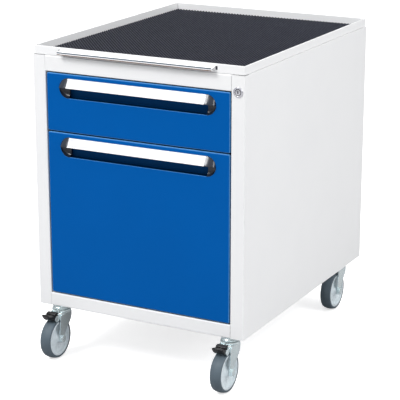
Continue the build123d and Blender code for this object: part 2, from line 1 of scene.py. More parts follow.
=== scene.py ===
import json
import math
import bmesh
import bpy
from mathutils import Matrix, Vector


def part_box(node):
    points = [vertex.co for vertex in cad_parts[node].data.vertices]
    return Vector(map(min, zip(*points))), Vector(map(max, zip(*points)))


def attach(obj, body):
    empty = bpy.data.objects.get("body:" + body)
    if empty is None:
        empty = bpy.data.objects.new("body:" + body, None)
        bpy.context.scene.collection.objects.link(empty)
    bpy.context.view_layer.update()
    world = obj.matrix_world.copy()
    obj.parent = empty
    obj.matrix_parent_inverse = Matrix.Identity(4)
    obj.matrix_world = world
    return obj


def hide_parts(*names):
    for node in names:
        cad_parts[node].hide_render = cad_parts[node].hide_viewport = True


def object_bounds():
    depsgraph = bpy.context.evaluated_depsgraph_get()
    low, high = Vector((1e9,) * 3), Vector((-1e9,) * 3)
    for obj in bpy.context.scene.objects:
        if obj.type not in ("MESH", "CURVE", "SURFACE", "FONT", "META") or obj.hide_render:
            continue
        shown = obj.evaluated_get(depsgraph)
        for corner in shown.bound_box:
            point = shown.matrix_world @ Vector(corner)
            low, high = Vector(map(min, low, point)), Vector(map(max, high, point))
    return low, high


# Looks of a mobile drawer cabinet. Shapes are in millimetres until they become meshes; camera, light, floor
# and materials are in metres. +Z is up, the drawers open towards -Y, and +X is right, seen from the front.

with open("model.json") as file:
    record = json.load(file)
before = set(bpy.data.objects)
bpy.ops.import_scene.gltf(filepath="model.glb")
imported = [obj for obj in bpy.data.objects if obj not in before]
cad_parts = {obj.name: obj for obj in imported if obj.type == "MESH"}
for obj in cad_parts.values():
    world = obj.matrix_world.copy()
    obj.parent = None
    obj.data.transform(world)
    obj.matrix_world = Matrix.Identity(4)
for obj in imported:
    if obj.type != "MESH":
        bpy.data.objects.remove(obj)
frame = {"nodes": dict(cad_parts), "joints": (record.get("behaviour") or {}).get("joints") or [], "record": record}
cad_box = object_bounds()

MM = 0.001
DRAWERS = ("upper", "lower")
CASTORS = ("front_left", "front_right", "rear_left", "rear_right")

# camera: degrees and metres, and millimetres for the lens and the sensor
VIEW_AZIMUTH = 27.75
VIEW_ELEVATION = 16.3
VIEW_DISTANCE = 3.892
VIEW_ASIDE = -0.005
VIEW_UP = -0.037
LENS = 141.2
SENSOR = 36.0

# light and floor: metres and watts
LIGHT_AIM = Vector((0, 0, 0.4))
LIGHTS = {
    "key": {"place": (-1.5, -2.9, 3.6), "size": (1.6, 1.6), "power": 120.0},
    "side": {"place": (3.4, -0.6, 2.6), "size": (1.6, 2.0), "power": 62.0},
    "top": {"place": (0.2, 0.6, 3.8), "size": (2.4, 2.4), "power": 45.0},
}
DOME_FROM, DOME_TO = -0.2, 0.9
DOME_LOW, DOME_HIGH = 0.30, 0.80
FLOOR_HALF = 30.0
FLOOR_TONE = (0.90, 0.90, 0.90)
FLOOR_BOUNCE = (0.45, 0.45, 0.46)
FLOOR_GLOW = 0.60

# meshes
WELD = 1e-6
SHARP = 34.0
BEVEL_STEPS = 3

# handles
SLOT_R = 23.5
SLOT_DROP = 10.0
GRIP_HALF = 180.0
GRIP_OUT = 12.2
GRIP_DROP = 20.4
GRIP_T = 2.4
GRIP_RIDGE = 3.2
RIDGE_SLOPE = 0.3
CHANNEL = 0.7
LABEL_END = 5.0
LABEL_GAP = 0.5
LABEL_LOW, LABEL_HIGH = 0.05, 0.45
CAP_GAP = 0.1
CAP_OVER = 0.4
CAP_PROUD = 0.5
CAP_BACK = 12.0
CAP_UNDER = 0.20
CAP_SCOOP = 0.72
CAP_SLOPE, CAP_RETURN, CAP_SWELL = 1.15, 5, 0.8

# pull lip, with heights above the floor
LIP_HALF = 199.0
# Heights of the two beads of painted shade along the lip's hem.
LIP_FOLD = (753.7, 756.1)
LIP_CUT = (749.4, 751.2)
LIP_PROUD = 0.15
LIP_SUNK = 1.4

# mat
RIB_PITCH = 6.5
RIB_ANGLE = 40.1
RIB_H = 1.9
RIB_STEPS = 8
RIB_POWER = 1.3
MAT_SHARP = 50.0

# lock
BEZEL_OUT = 2.5
# A black ring of painted shade in the gap between the bezel and the plug.
GAP_SHADE_RING = (6.75, 7.65)
# A black block of painted shade at the back of the keyway.
KEYWAY_SHADE_HALF_W, KEYWAY_SHADE_HALF_H = 1.2, 3.1
KEYWAY_SHADE_FRONT, KEYWAY_SHADE_BACK = 0.5, 3.0
KEYWAY_HALF_W, KEYWAY_HALF_H, KEYWAY_DEPTH = 1.25, 3.2, 8.0

# castors, with x and y from the swivel axis and z from the floor
TRAIL = 30.0
LEG_MID = 18.25
LEG_T = 2.5
LEG_TOP = (-34.0, 14.5)
LEG_BEND = 5.0
LEG_STOP = 1.2
BRIDGE = (-20.0, 15.0)
EYE_R = 9.8
CROWN_RISE = 3.4
HEAD_SINK = 1.5
TYRE_EDGE_R, TYRE_ROUND = 44.9, 3.2
PIVOT = (-27.0, 107.0)
PIN_R, PIN_HALF = 3.0, 19.6
SHOE_HALF = 12
CHEEK_IN, CHEEK_OUT = 14.5, 16.1
HEEL_HALF, TOE_HALF = 12.6, 14
PAD_START = (-64.0, 116.2)
PAD_RIBS, PAD_PITCH, PAD_FALL, PAD_HALF = 4, 3.6, 1.05, 12.5


def mm_box(node):
    """The node's two corners in millimetres."""
    low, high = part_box(node)
    return low / MM, high / MM


# ---- mesh helpers ----

def smooth(mesh, sharp):
    """Shade the mesh smooth, except where it turns by more than sharp degrees."""
    mesh.polygons.foreach_set("use_smooth", [True] * len(mesh.polygons))
    mesh.set_sharp_from_angle(angle=math.radians(sharp))


def piece(name, shape, body, finish, replaces=(), sharp=SHARP, bevel=0.0):
    """Make a piece of (points, faces), with edges of more than sharp degrees rounded by the bevel.

    It takes the material of its finish."""
    points, faces = shape
    mesh = bpy.data.meshes.new(name)
    bm = bmesh.new()
    made = [bm.verts.new(Vector(p) * MM) for p in points]
    for face in faces:
        corners = [made[i] for i in face]
        if len(set(corners)) > 2:
            bm.faces.new(corners)
    bmesh.ops.remove_doubles(bm, verts=bm.verts, dist=WELD)
    bmesh.ops.dissolve_degenerate(bm, dist=WELD, edges=bm.edges)
    bmesh.ops.recalc_face_normals(bm, faces=bm.faces)
    if bevel:
        edges = [e for e in bm.edges if e.is_manifold and e.calc_face_angle(0) > math.radians(sharp)]
        bmesh.ops.bevel(
            bm, geom=edges, offset=bevel * MM, segments=BEVEL_STEPS, profile=0.5, affect="EDGES",
            clamp_overlap=True,
        )
    bm.to_mesh(mesh)
    bm.free()
    smooth(mesh, sharp)
    obj = bpy.data.objects.new(name, mesh)
    bpy.context.scene.collection.objects.link(obj)
    mesh.materials.append(FINISHES[finish])
    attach(obj, body)
    if replaces:
        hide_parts(*replaces)


def join(*shapes):
    """Several (points, faces) as one."""
    points, faces = [], []
    for more_points, more_faces in shapes:
        start = len(points)
        points += more_points
        faces += [[i + start for i in face] for face in more_faces]
    return points, faces


def moved(shape, offset):
    """The shape carried along by the offset."""
    points, faces = shape
    return [tuple(Vector(p) + Vector(offset)) for p in points], faces


def mirrored(shape):
    """The shape's mirror image, left for right."""
    points, faces = shape
    return [(-x, y, z) for x, y, z in points], faces


def prism_x(outline, x0, x1):
    """A closed outline of (y, z) points carried from x0 to x1."""
    count = len(outline)
    points = [(x, y, z) for x in (x0, x1) for y, z in outline]
    faces = [[i, (i + 1) % count, (i + 1) % count + count, i + count] for i in range(count)]
    faces.append(list(range(count)))
    faces.append([i + count for i in range(count)])
    return points, faces


def lathe(profile, axis, centre, segments):
    """Turn a closed (radius, along) profile about an axis through the centre."""
    points, faces = [], []
    count = len(profile)
    for step in range(segments):
        angle = math.tau * step / segments
        c, s = math.cos(angle), math.sin(angle)
        for radius, along in profile:
            local = {
                "X": (along, radius * c, radius * s),
                "Y": (radius * c, along, radius * s),
                "Z": (radius * c, radius * s, along),
            }[axis]
            points.append(tuple(Vector(local) + Vector(centre)))
    for step in range(segments):
        here, there = step * count, (step + 1) % segments * count
        for i in range(count):
            j = (i + 1) % count
            faces.append([here + i, here + j, there + j, there + i])
    return points, faces


def rounded(outline, radius, steps):
    """The closed outline with each corner rounded by the radius, or less where a side is short."""
    result = []
    most = 0.45
    count = len(outline)
    for i in range(count):
        before, corner, after = (Vector(outline[(i + k) % count]) for k in (-1, 0, 1))
        first, second = before - corner, after - corner
        reach = min(radius, first.length * most, second.length * most)
        start = corner + first.normalized() * reach
        end = corner + second.normalized() * reach
        for k in range(steps + 1):
            t = k / steps
            bend = start * (1 - t) ** 2 + corner * 2 * t * (1 - t) + end * t ** 2
            result.append(tuple(bend))
    return result


def curve_through(points, steps):
    """Smooth Catmull-Rom curve through the points, with so many steps from each point to the next."""
    padded = [points[0], *points, points[-1]]
    result = []
    for i in range(len(points) - 1):
        a, b, c, d = (Vector(p) for p in padded[i:i + 4])
        for k in range(steps):
            t = k / steps
            square, cube = 2 * a - 5 * b + 4 * c - d, 3 * b - a - 3 * c + d
            result.append(0.5 * (2 * b + (c - a) * t + square * t ** 2 + cube * t ** 3))
    result.append(Vector(points[-1]))
    return result


# ---- material helpers ----

class Nodes:
    """Short calls for building one material's node tree.

    The keywords are constant inputs of its shader, with _ for each space in their names."""

    def __init__(self, name, **constants):
        self.material = bpy.data.materials.new(name)
        self.material.use_nodes = True
        self.tree = self.material.node_tree
        self.shader = self.tree.nodes["Principled BSDF"]
        for socket, value in constants.items():
            self.shader.inputs[socket.replace("_", " ")].default_value = value
        self.place = self.tree.nodes.new("ShaderNodeTexCoord").outputs["Object"]

    def link(self, source, target):
        self.tree.links.new(source, target)

    def scaled(self, x, y, z):
        """The place with its axes scaled, which stretches the pattern that is laid on it."""
        node = self.tree.nodes.new("ShaderNodeMapping")
        node.inputs["Scale"].default_value = (x, y, z)
        self.link(self.place, node.inputs["Vector"])
        return node.outputs["Vector"]

    def noise(self, scale, detail, rough=0.55, where=None):
        node = self.tree.nodes.new("ShaderNodeTexNoise")
        node.inputs["Scale"].default_value = scale
        node.inputs["Detail"].default_value = detail
        node.inputs["Roughness"].default_value = rough
        self.link(where or self.place, node.inputs["Vector"])
        return node.outputs["Fac"]

    def axis(self, vector, letter):
        """The X, Y or Z of a vector."""
        split = self.tree.nodes.new("ShaderNodeSeparateXYZ")
        self.link(vector, split.inputs[0])
        return split.outputs[letter]

    def normal(self):
        return self.tree.nodes.new("ShaderNodeNewGeometry").outputs["Normal"]

    def facing(self):
        """1 on faces square to the front or back, 0 on faces square to a side, the top or the bottom."""
        return self.math("ABSOLUTE", self.axis(self.normal(), "Y"), 0.0)

    def spread(self, value, low, high, out_low, out_high):
        """The value eased from out_low, at low and under, to out_high, at high and over."""
        node = self.tree.nodes.new("ShaderNodeMapRange")
        node.interpolation_type = "SMOOTHSTEP"
        numbers = {"From Min": low, "From Max": high, "To Min": out_low, "To Max": out_high}
        for socket, number in numbers.items():
            node.inputs[socket].default_value = number
        self.link(value, node.inputs["Value"])
        return node.outputs["Result"]

    def math(self, operation, first, second):
        node = self.tree.nodes.new("ShaderNodeMath")
        node.operation = operation
        for socket, value in zip(node.inputs, (first, second)):
            if isinstance(value, (int, float)):
                socket.default_value = value
            else:
                self.link(value, socket)
        return node.outputs[0]

    def mix(self, factor, first, second):
        """The first colour where the factor is 0, the second where it is 1."""
        node = self.tree.nodes.new("ShaderNodeMix")
        node.data_type = "RGBA"
        self.link(factor, node.inputs[0])
        for socket, value in ((node.inputs[6], first), (node.inputs[7], second)):
            if isinstance(value, tuple):
                socket.default_value = (*value, 1.0)
            else:
                self.link(value, socket)
        return node.outputs[2]

    def edges(self, radius):
        """1 on edges that turn within the radius in metres, 0 on flat stretches."""
        bevel = self.tree.nodes.new("ShaderNodeBevel")
        bevel.samples = 4
        bevel.inputs["Radius"].default_value = radius
        dot = self.tree.nodes.new("ShaderNodeVectorMath")
        dot.operation = "DOT_PRODUCT"
        self.link(bevel.outputs["Normal"], dot.inputs[0])
        self.link(self.normal(), dot.inputs[1])
        return self.spread(dot.outputs["Value"], 0.82, 0.995, 1.0, 0.0)

    def bump(self, *layers):
        """Bump from (height, strength, distance) layers, one on top of the other."""
        normal = None
        for height, strength, distance in layers:
            node = self.tree.nodes.new("ShaderNodeBump")
            node.inputs["Strength"].default_value = strength
            node.inputs["Distance"].default_value = distance
            self.link(height, node.inputs["Height"])
            if normal:
                self.link(normal, node.inputs["Normal"])
            normal = node.outputs["Normal"]
        self.link(normal, self.shader.inputs["Normal"])

    def colour(self, source):
        self.link(source, self.shader.inputs["Base Color"])

    def roughness(self, source):
        self.link(source, self.shader.inputs["Roughness"])


def coat_base(n, colour, shade, low_rough, high_rough):
    """What every coat of paint has: clouding, hazier handling marks and orange peel. Gives its colour."""
    clouds, touches = n.noise(5.0, 4.0), n.noise(55.0, 6.0, 0.7)
    peel, grain = n.noise(900.0, 2.0), n.noise(3200.0, 1.0)
    haze = n.spread(clouds, 0.25, 0.75, low_rough, high_rough)
    marks = n.spread(touches, 0.58, 0.72, 0.0, 0.06)
    n.roughness(n.math("ADD", haze, marks))
    n.bump((peel, 0.09, 0.0003), (grain, 0.05, 0.0001))
    return n.mix(n.spread(clouds, 0.3, 0.7, 0.0, 0.6), colour, shade)


def powder_coat(name, colour, shade, worn, low_rough, high_rough):
    """Satin powder coat with its edges worn to a tint."""
    n = Nodes(name, Specular_IOR_Level=0.45)
    base = coat_base(n, colour, shade, low_rough, high_rough)
    wear_and_highlight_patches = n.noise(160.0, 4.0)
    edge_wear_and_highlight = n.math("MULTIPLY", n.edges(0.0012), n.spread(wear_and_highlight_patches, 0.42, 0.66, 0.0, 0.55))
    n.colour(n.mix(edge_wear_and_highlight, base, worn))
    return n.material


def front_coat(name, colour, pocket, returns, painted_edge_highlight, front_y, low_rough, high_rough):
    """Coat of the drawer fronts: a painted highlight on the rolled edges, and painted shade in the pockets and on
    the returns.

    What lies behind front_y, in metres, is a pocket's back where it faces forward, or else a return."""
    n = Nodes(name, Specular_IOR_Level=0.04)
    base = coat_base(n, colour, tuple(0.94 * c for c in colour), low_rough, high_rough)
    facing = n.facing()
    # Painted shade: darker in the pockets behind front_y, and darkest on the returns beside the gaps.
    pocket_shade_mask = n.spread(n.axis(n.place, "Y"), front_y + 0.0012, front_y + 0.0045, 0.0, 1.0)
    return_shade_mask = n.math("MULTIPLY", pocket_shade_mask, n.spread(facing, 0.05, 0.35, 1.0, 0.0))
    base = n.mix(return_shade_mask, n.mix(pocket_shade_mask, base, pocket), returns)
    # Painted highlight on the rolled edges, in noisy patches.
    turned, not_aside = n.spread(facing, 0.72, 0.93, 1.0, 0.0), n.spread(facing, 0.08, 0.28, 0.0, 1.0)
    wear_and_highlight_patches = n.noise(160.0, 4.0)
    rolled = n.math("MULTIPLY", turned, not_aside)
    edge_wear_and_highlight = n.math("MULTIPLY", rolled, n.spread(wear_and_highlight_patches, 0.35, 0.66, 0.60, 0.85))
    n.colour(n.mix(edge_wear_and_highlight, base, painted_edge_highlight))
    return n.material


def zinc(name, light, dark, warm, low_rough, high_rough, brushed=False, metal=1.0, relief=1.0):
    """Zinc-plated steel: crystalline patches, a faint tint of its passivation and fine scratches."""
    n = Nodes(name, Metallic=metal)
    crystals, stains, dents = n.noise(70.0, 5.0, 0.6), n.noise(24.0, 2.0), n.noise(420.0, 3.0)
    base = n.mix(n.spread(crystals, 0.32, 0.68, 0.0, 1.0), light, dark)
    n.colour(n.mix(n.spread(stains, 0.5, 0.75, 0.0, 0.5), base, warm))
    stretch = n.scaled(260.0, 14.0, 260.0) if brushed else n.scaled(90.0, 90.0, 90.0)
    scratches = n.noise(6.0, 6.0, 0.75, stretch)
    n.roughness(n.spread(scratches, 0.3, 0.7, low_rough, high_rough))
    n.bump((scratches, 0.10 * relief, 0.0001), (dents, 0.05 * relief, 0.0002))
    return n.material


def moulded(
    name, colour, shade, dust, low_rough, high_rough, grain=1400.0, depth=0.12, gloss=0.5, ribs=None,
):
    """Moulded plastic or rubber: spark-eroded grain, faint flow marks and dust on its edges.

    Ribs are (low, high, colour): from the high level down to the low one it darkens to the colour, a painted shade
    in the grooves."""
    n = Nodes(name, Specular_IOR_Level=gloss)
    flow, specks = n.noise(38.0, 4.0, 0.6), n.noise(240.0, 4.0)
    haze, pits = n.noise(130.0, 5.0), n.noise(grain, 2.0)
    base = n.mix(n.spread(flow, 0.3, 0.7, 0.0, 1.0), colour, shade)
    if ribs:
        # Painted shade: darker down in the grooves between the ribs.
        low, high, groove_shade = ribs
        base = n.mix(n.spread(n.axis(n.place, "Z"), low, high, 0.0, 1.0), groove_shade, base)
    dusty = n.math("MULTIPLY", n.edges(0.0015), n.spread(specks, 0.45, 0.7, 0.0, 0.5))
    n.colour(n.mix(dusty, base, dust))
    n.roughness(n.spread(haze, 0.3, 0.7, low_rough, high_rough))
    n.bump((pits, depth, 0.0002), (flow, 0.05, 0.0005))
    return n.material


def make_finishes():
    """A material for each of the record's slots, and three for pieces that differ from their slot's."""
    front_y = mm_box("lower_drawer_front")[0].y
    mat_top = mm_box("ribbed_mat")[1].z
    # The mat darkens towards a near-black painted shade down in its grooves.
    groove_shade = ((mat_top - 0.75 * RIB_H) * MM, (mat_top - 0.15 * RIB_H) * MM, (0.002, 0.002, 0.003))
    recipes = {
        "carcass_paint": (
            powder_coat, (0.89, 0.895, 0.90), (0.86, 0.866, 0.875), (0.93, 0.935, 0.94), (0.36, 0.46), {}),
        # Front paint: its colour, painted shade for the pockets and for the returns, and a painted highlight for
        # the rolled edges.
        "front_paint": (
            front_coat, (0.0, 0.101, 0.396), (0.0, 0.054, 0.186), (0.0, 0.018, 0.065), (0.30, 0.40),
            {"painted_edge_highlight": (0.13, 0.36, 0.68), "front_y": front_y * MM}),
        "box_paint": (
            powder_coat, (0.60, 0.62, 0.64), (0.56, 0.58, 0.60), (0.70, 0.71, 0.72), (0.40, 0.52), {}),
        "grip_aluminium": (
            powder_coat, (0.90, 0.90, 0.915), (0.87, 0.87, 0.89), (0.93, 0.93, 0.94), (0.24, 0.34), {}),
        "zinc_plate": (
            zinc, (0.72, 0.75, 0.76), (0.60, 0.63, 0.64), (0.72, 0.70, 0.63), (0.26, 0.42),
            {"brushed": True, "metal": 0.8}),
        "castor_zinc": (
            zinc, (0.86, 0.95, 0.97), (0.78, 0.89, 0.91), (0.84, 0.92, 0.91), (0.16, 0.26),
            {"metal": 0.75, "relief": 0.2}),
        "bearing_steel": (
            zinc, (0.16, 0.18, 0.19), (0.08, 0.10, 0.11), (0.16, 0.13, 0.10), (0.24, 0.45), {}),
        "lock_chrome": (
            zinc, (0.80, 0.80, 0.85), (0.70, 0.70, 0.76), (0.78, 0.77, 0.76), (0.12, 0.22),
            {"metal": 0.85}),
        "mat_rubber": (
            moulded, (0.033, 0.037, 0.056), (0.043, 0.047, 0.068), (0.06, 0.06, 0.08), (0.55, 0.70),
            {"gloss": 0.08, "ribs": groove_shade}),
        "label_card": (
            moulded, (0.82, 0.82, 0.835), (0.79, 0.79, 0.81), (0.74, 0.74, 0.76), (0.34, 0.46),
            {"grain": 2600.0, "depth": 0.04}),
        "black_plastic": (
            moulded, (0.008, 0.008, 0.009), (0.013, 0.013, 0.015), (0.04, 0.038, 0.038), (0.22, 0.36),
            {"gloss": 0.32}),
        "rim_plastic": (
            moulded, (0.78, 0.85, 0.89), (0.72, 0.80, 0.84), (0.88, 0.91, 0.93), (0.22, 0.36),
            {"grain": 1800.0, "depth": 0.05}),
        "tyre_grey": (
            moulded, (0.095, 0.130, 0.158), (0.082, 0.114, 0.140), (0.20, 0.21, 0.22), (0.46, 0.64),
            {"grain": 900.0, "depth": 0.18}),
        "cap_plastic": (
            moulded, (0.012, 0.018, 0.032), (0.017, 0.023, 0.037), (0.07, 0.075, 0.085), (0.16, 0.26),
            {"grain": 1800.0, "depth": 0.04, "gloss": 0.6}),
        # Two dark colours of painted shade, for the beads along the lip's hem.
        "painted_fold_shade": (
            moulded, (0.045, 0.080, 0.135), (0.035, 0.065, 0.11), (0.16, 0.20, 0.26), (0.40, 0.55),
            {"grain": 1800.0, "depth": 0.05, "gloss": 0.2}),
        "painted_hem_shadow": (
            moulded, (0.13, 0.042, 0.014), (0.10, 0.034, 0.012), (0.24, 0.12, 0.07), (0.45, 0.60),
            {"grain": 1800.0, "depth": 0.05, "gloss": 0.2}),
    }
    return {
        name: recipe(name, *colours, low_rough=rough[0], high_rough=rough[1], **rest)
        for name, (recipe, *colours, rough, rest) in recipes.items()
    }


FINISHES = make_finishes()


def finish_cad_nodes():
    """Give every CAD node the material of its slot in the record."""
    for part in frame["record"]["subparts"]:
        obj = frame["nodes"][part["node"]]
        obj.data.materials.clear()
        obj.data.materials.append(FINISHES[part["material_slot"]])


# ---- handles ----

def grip_outline(top):
    """Closed (y, z) section of the grip, with y from the front's face. A channel in it holds the label.

    With it come its sloping face's start, the directions along and out of that face, and its length."""
    start, end = Vector((-0.9, top - 1.0)), Vector((-GRIP_OUT, top - GRIP_DROP))
    along = (end - start).normalized()
    out = Vector((along.y, -along.x))
    length = (end - start).length
    face = [
        start,
        start + along * GRIP_RIDGE,
        start + along * (GRIP_RIDGE + RIDGE_SLOPE) - out * CHANNEL,
        start + along * (length - GRIP_RIDGE - RIDGE_SLOPE) - out * CHANNEL,
        start + along * (length - GRIP_RIDGE),
        end,
    ]
    inner_low = end - out * GRIP_T
    inner_high = start - out * GRIP_T
    back = [
        Vector((end.x + 1.2, end.y - 0.9)),
        Vector((end.x + 5.5, end.y - 0.9)),
        Vector((end.x + 5.5, end.y + 0.7)),
        inner_low + Vector((0.4, 0.8)),
        inner_high + Vector((0.4, 0.4)),
        Vector((9.0, top - 2.8)),
        Vector((9.0, top - 0.4)),
        Vector((0.2, top - 0.4)),
    ]
    return [tuple(p) for p in face + back], start, along, out, length


def make_handle(drawer, front_y, mid_z):
    """A drawer's grip, its blank label and its two end caps."""
    body = f"{drawer}_drawer"
    outline, start, along, out, length = grip_outline(mid_z + SLOT_R)
    grip = moved(prism_x(rounded(outline, radius=0.5, steps=3), -GRIP_HALF, GRIP_HALF), (0, front_y, 0))
    piece(f"{drawer}_grip", grip, body, "grip_aluminium", [f"{drawer}_handle_grip"], sharp=50)
    near, far = GRIP_RIDGE + LABEL_GAP, length - GRIP_RIDGE - LABEL_GAP
    card = [
        tuple(start + along * travel - out * (CHANNEL - rise))
        for travel, rise in ((near, LABEL_LOW), (near, LABEL_HIGH), (far, LABEL_HIGH), (far, LABEL_LOW))
    ]
    half = GRIP_HALF - LABEL_END
    label = moved(prism_x(card, -half, half), (0, front_y, 0))
    piece(f"{drawer}_label", label, body, "label_card", [f"{drawer}_label_strip"], bevel=0.1)
    cap = moved(end_cap(mid_z), (0, front_y, 0))
    for side, shape in (("right", cap), ("left", mirrored(cap))):
        piece(
            f"{drawer}_cap_{side}", shape, body, "cap_plastic", [f"{drawer}_handle_caps"], sharp=48,
        )


def cap_height(t, nose):
    """How far the cap stands out at t, from 1 at its top to -1 at its bottom.

    It slopes out to its nose, turns back under it into a scoop, and comes up again to its rim."""
    if t > nose:
        return 1 - ((t - nose) / (1 - nose)) ** CAP_SLOPE
    depth = (nose - t) / (1 + nose)
    if depth < CAP_UNDER:
        share = depth / CAP_UNDER
        return 1 - (1 + CAP_SCOOP) * (3 * share ** 2 - 2 * share ** 3)
    share = (depth - CAP_UNDER) / (1 - CAP_UNDER)
    return -CAP_SCOOP * (1 - share ** CAP_RETURN)


def end_cap(mid_z):
    """Domed end cap, shrinking towards the round end of the opening, with a flat back inside the pocket."""
    columns, rows = 30, 72
    radius = SLOT_R - CAP_GAP
    nose = (SLOT_R - GRIP_DROP) / SLOT_R
    points, faces = [], []
    for i in range(columns + 1):
        angle = math.pi / 2 * i / columns
        chord = radius * math.cos(angle)
        x = GRIP_HALF + radius * math.sin(angle)
        for j in range(rows + 1):
            t = math.cos(math.pi * j / rows)
            swell = math.cos(angle) ** CAP_SWELL
            y = -CAP_PROUD - (GRIP_OUT + CAP_OVER) * cap_height(t, nose) * swell
            points.append((x, y, mid_z + chord * t))
    for i in range(columns):
        for j in range(rows):
            a = i * (rows + 1) + j
            faces.append([a, a + 1, a + rows + 2, a + rows + 1])
    rim = [i * (rows + 1) for i in range(columns)]
    rim += [columns * (rows + 1)]
    rim += [i * (rows + 1) + rows for i in range(columns - 1, -1, -1)]
    start = len(points)
    points += [(points[i][0], CAP_BACK, points[i][2]) for i in rim]
    for k in range(len(rim) - 1):
        faces.append([rim[k], rim[k + 1], start + k + 1, start + k])
    faces.append([start + k for k in range(len(rim))])
    faces.append(list(range(rows + 1)) + [start + len(rim) - 1, start])
    return points, faces


def make_handles():
    """The handle of each drawer, under the top edge of its front."""
    for drawer in DRAWERS:
        low, high = mm_box(f"{drawer}_drawer_front")
        make_handle(drawer, low.y, high.z - SLOT_DROP - SLOT_R)


# ---- top tray ----

def make_lip_edge():
    """Two narrow beads of painted shade along the hem of the pull lip: on its fold and on its cut edge."""
    face = mm_box("top_tray")[0].y
    front, back = face - LIP_PROUD, face + LIP_SUNK
    for name, (low, high), finish in (("lip_fold_shade", LIP_FOLD, "painted_fold_shade"), ("lip_cut_shadow", LIP_CUT, "painted_hem_shadow")):
        bead = [(back, low), (back, high), (front, high), (front, low)]
        shape = prism_x(rounded(bead, radius=0.3, steps=2), -LIP_HALF, LIP_HALF)
        piece(name, shape, "root", finish)


def make_mat():
    """Rubber mat with diagonal ribs, cut to the tray."""
    low, high = mm_box("ribbed_mat")
    angle = math.radians(RIB_ANGLE)
    across = Vector((math.cos(angle), math.sin(angle), 0))
    along = Vector((-math.sin(angle), math.cos(angle), 0))
    centre = (low + high) / 2
    reach = (high - low).length / 2 + RIB_PITCH
    count = int(2 * reach / RIB_PITCH) * RIB_STEPS
    bm = bmesh.new()
    previous = None
    for k in range(count + 1):
        wave = 0.5 + 0.5 * math.cos(math.tau * k / RIB_STEPS)
        z = high.z - RIB_H * (1 - wave ** RIB_POWER)
        base = Vector((centre.x, centre.y, 0)) + across * (k * RIB_PITCH / RIB_STEPS - reach)
        line = []
        for end in (-reach, reach):
            point = base + along * end
            line.append(bm.verts.new((point.x * MM, point.y * MM, z * MM)))
        if previous:
            bm.faces.new([previous[0], line[0], line[1], previous[1]])
        previous = line
    for corner, normal in (
        (low, (-1, 0, 0)), (low, (0, -1, 0)), (high, (1, 0, 0)), (high, (0, 1, 0)),
    ):
        bmesh.ops.bisect_plane(
            bm, geom=bm.verts[:] + bm.edges[:] + bm.faces[:], dist=1e-7,
            plane_co=corner * MM, plane_no=normal, clear_outer=True,
        )
    border = [e for e in bm.edges if e.is_boundary]
    skirt = bmesh.ops.extrude_edge_only(bm, edges=border)["geom"]
    for vert in skirt:
        if isinstance(vert, bmesh.types.BMVert):
            vert.co.z = low.z * MM
    bmesh.ops.holes_fill(bm, edges=[e for e in bm.edges if e.is_boundary], sides=0)
    bmesh.ops.recalc_face_normals(bm, faces=bm.faces)
    mesh = bpy.data.meshes.new("mat")
    bm.to_mesh(mesh)
    bm.free()
    smooth(mesh, MAT_SHARP)
    mesh.materials.append(FINISHES["mat_rubber"])
    mat = bpy.data.objects.new("rubber_mat", mesh)
    bpy.context.scene.collection.objects.link(mat)
    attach(mat, "root")
    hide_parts("ribbed_mat")


# ---- lock ----

def make_lock():
    """Bezel with a rounded lip, the plug with its keyway, a black ring of painted shade between them and a black
    block of painted shade in the keyway.
    """
    low, high = mm_box("lock_housing")
    x, z = (low.x + high.x) / 2, (low.z + high.z) / 2
    plate = low.y + BEZEL_OUT
    rear = high.y - plate
    bezel = [
        (9.0, rear), (9.0, 0.0), (12.0, 0.0), (12.0, -0.9), (11.7, -1.6), (11.0, -2.2), (10.2, -2.45),
        (9.2, -BEZEL_OUT), (8.3, -2.3), (7.7, -1.8), (7.4, -1.1), (7.3, 0.3), (6.7, 0.4), (6.7, rear),
    ]
    shell = lathe(bezel, "Y", (x, plate, z), segments=72)
    piece("lock_bezel", shell, "root", "lock_chrome", ["lock_housing"], sharp=40)
    plug_low, plug_high = mm_box("lock_plug")
    plug = moved(keyed_plug(plug_low.y, plug_high.y), (x, 0, z))
    piece("lock_plug_face", plug, "lock_barrel", "lock_chrome", ["lock_plug"], sharp=35)
    # A black ring of painted shade in the gap between bezel and plug.
    inner, outer = GAP_SHADE_RING
    ring = [(inner, -1.5), (outer, -1.5), (outer, 0.2), (inner, 0.2)]
    gap_shade = lathe(ring, "Y", (x, plate, z), segments=72)
    piece("lock_gap_shade", gap_shade, "root", "black_plastic")
    # A black block of painted shade just behind the keyway's mouth.
    front, back = plug_low.y + KEYWAY_SHADE_FRONT, plug_low.y + KEYWAY_SHADE_BACK
    foot, head = z - KEYWAY_SHADE_HALF_H, z + KEYWAY_SHADE_HALF_H
    stack = [(front, foot), (back, foot), (back, head), (front, head)]
    keyway_shade = prism_x(stack, x - KEYWAY_SHADE_HALF_W, x + KEYWAY_SHADE_HALF_W)
    piece("lock_keyway_shade", keyway_shade, "lock_barrel", "black_plastic")


